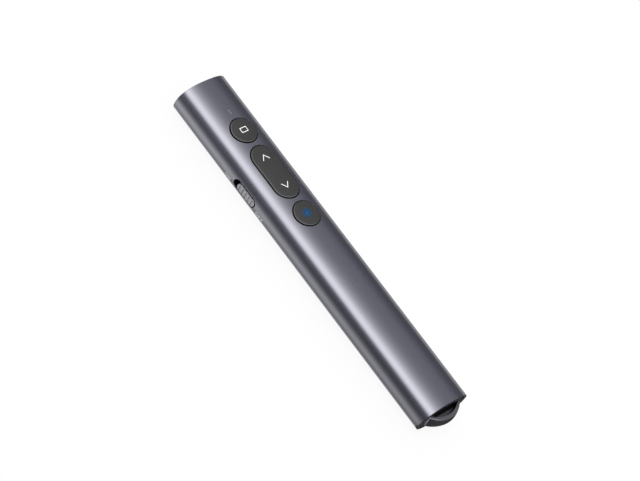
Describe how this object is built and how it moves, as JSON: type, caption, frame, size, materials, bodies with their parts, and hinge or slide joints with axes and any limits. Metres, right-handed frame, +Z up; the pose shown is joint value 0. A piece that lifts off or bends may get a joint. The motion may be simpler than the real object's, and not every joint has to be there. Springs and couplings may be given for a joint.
{
  "type": "laser pointer",
  "caption": "Slim wireless presenter pen with thumb keys on top, a slide switch on one side, a laser in the head and a pull-out receiver with a finger tab in the tail.",
  "frame": {"origin": "on the surface that the pen lies on, under the middle of its overall box, tab included", "axes": "+X runs along the pen from the head with the laser to the tail with the tab, +Z points up through the keys, and the power slider is on the -Y side"},
  "size_m": [0.1444, 0.022, 0.014],
  "materials": {
    "anodised_shell": "satin anodised, brushed along its length",
    "black_plastic": "fine spark texture",
    "tail_plastic": "satin",
    "key_plastic": "soft matte",
    "slider_plastic": "satin",
    "tinted_window": "polished, dark red tint",
    "clear_plastic": "polished",
    "brass": "turned",
    "steel": "nickel plated",
    "spring_steel": "bright drawn",
    "green_laminate": "solder mask",
    "red_insulation": "smooth",
    "black_insulation": "smooth",
    "cell_jacket": "printed film, bare of text"
  },
  "bodies": {
    "handset": {"body_tube": "anodised_shell", "head_bezel": "black_plastic", "laser_window": "tinted_window", "laser_barrel": "brass", "lens_retainer": "brass", "collimating_lens": "clear_plastic", "lens_spring": "spring_steel", "laser_diode": "brass", "laser_driver_board": "green_laminate", "laser_lead_red": "red_insulation", "laser_lead_black": "black_insulation", "laser_clamp": "black_plastic", "clamp_screw_1": "steel", "clamp_screw_2": "steel", "chassis": "black_plastic", "key_frame": "black_plastic", "rocker_pin": "steel", "menu_switch": "steel", "page_up_switch": "steel", "page_down_switch": "steel", "laser_switch": "steel", "main_board": "green_laminate", "board_screw_1": "steel", "board_screw_2": "steel", "board_screw_3": "steel", "status_lamp": "clear_plastic", "light_pipe": "clear_plastic", "radio_chip": "black_plastic", "crystal_can": "steel", "slide_switch": "steel", "battery_cell": "cell_jacket", "positive_contact": "spring_steel", "return_strip": "spring_steel"},
    "menu_button": {"menu_key": "key_plastic", "menu_plunger": "black_plastic"},
    "page_rocker": {"rocker_key": "key_plastic"},
    "page_up_contact": {"page_up_plunger": "black_plastic"},
    "page_down_contact": {"page_down_plunger": "black_plastic"},
    "laser_button": {"laser_key": "key_plastic", "laser_plunger": "black_plastic"},
    "power_switch": {"power_slider": "slider_plastic", "switch_lever": "black_plastic"},
    "tail_bay": {"receiver_bay": "black_plastic", "receiver_magnet": "steel", "negative_plate": "spring_steel", "battery_spring": "spring_steel"},
    "receiver": {"receiver_plug": "tail_plastic", "usb_shell": "steel", "usb_tongue": "black_plastic", "receiver_board": "green_laminate", "receiver_chip": "black_plastic"}
  },
  "joints": [
    {"name": "menu_key_press", "type": "slide", "parent": "handset", "child": "menu_button", "axis": [0, 0, -1], "range_m": [0, 0.0004], "stiffness_N_per_m": 1500},
    {"name": "page_rocker_tilt", "type": "hinge", "parent": "handset", "child": "page_rocker", "pos_m": [-0.03136, 0, 0.01054], "axis": [0, 1, 0], "range_deg": [-2, 2], "stiffness_Nm_per_rad": 0.27},
    {"name": "page_up_press", "type": "slide", "parent": "handset", "child": "page_up_contact", "axis": [0, 0, -1], "range_m": [0, 0.00025], "stiffness_N_per_m": 1500},
    {"name": "page_down_press", "type": "slide", "parent": "handset", "child": "page_down_contact", "axis": [0, 0, -1], "range_m": [0, 0.00025], "stiffness_N_per_m": 1500},
    {"name": "laser_key_press", "type": "slide", "parent": "handset", "child": "laser_button", "axis": [0, 0, -1], "range_m": [0, 0.0004], "stiffness_N_per_m": 1500},
    {"name": "power_slide", "type": "slide", "parent": "handset", "child": "power_switch", "axis": [-1, 0, 0], "range_m": [0, 0.0015]},
    {"name": "tail_bay_pull", "type": "slide", "parent": "handset", "child": "tail_bay", "axis": [1, 0, 0], "range_m": [0, 0.0215]},
    {"name": "receiver_pull", "type": "slide", "parent": "tail_bay", "child": "receiver", "axis": [1, 0, 0], "range_m": [0, 0.0185]}
  ]
}
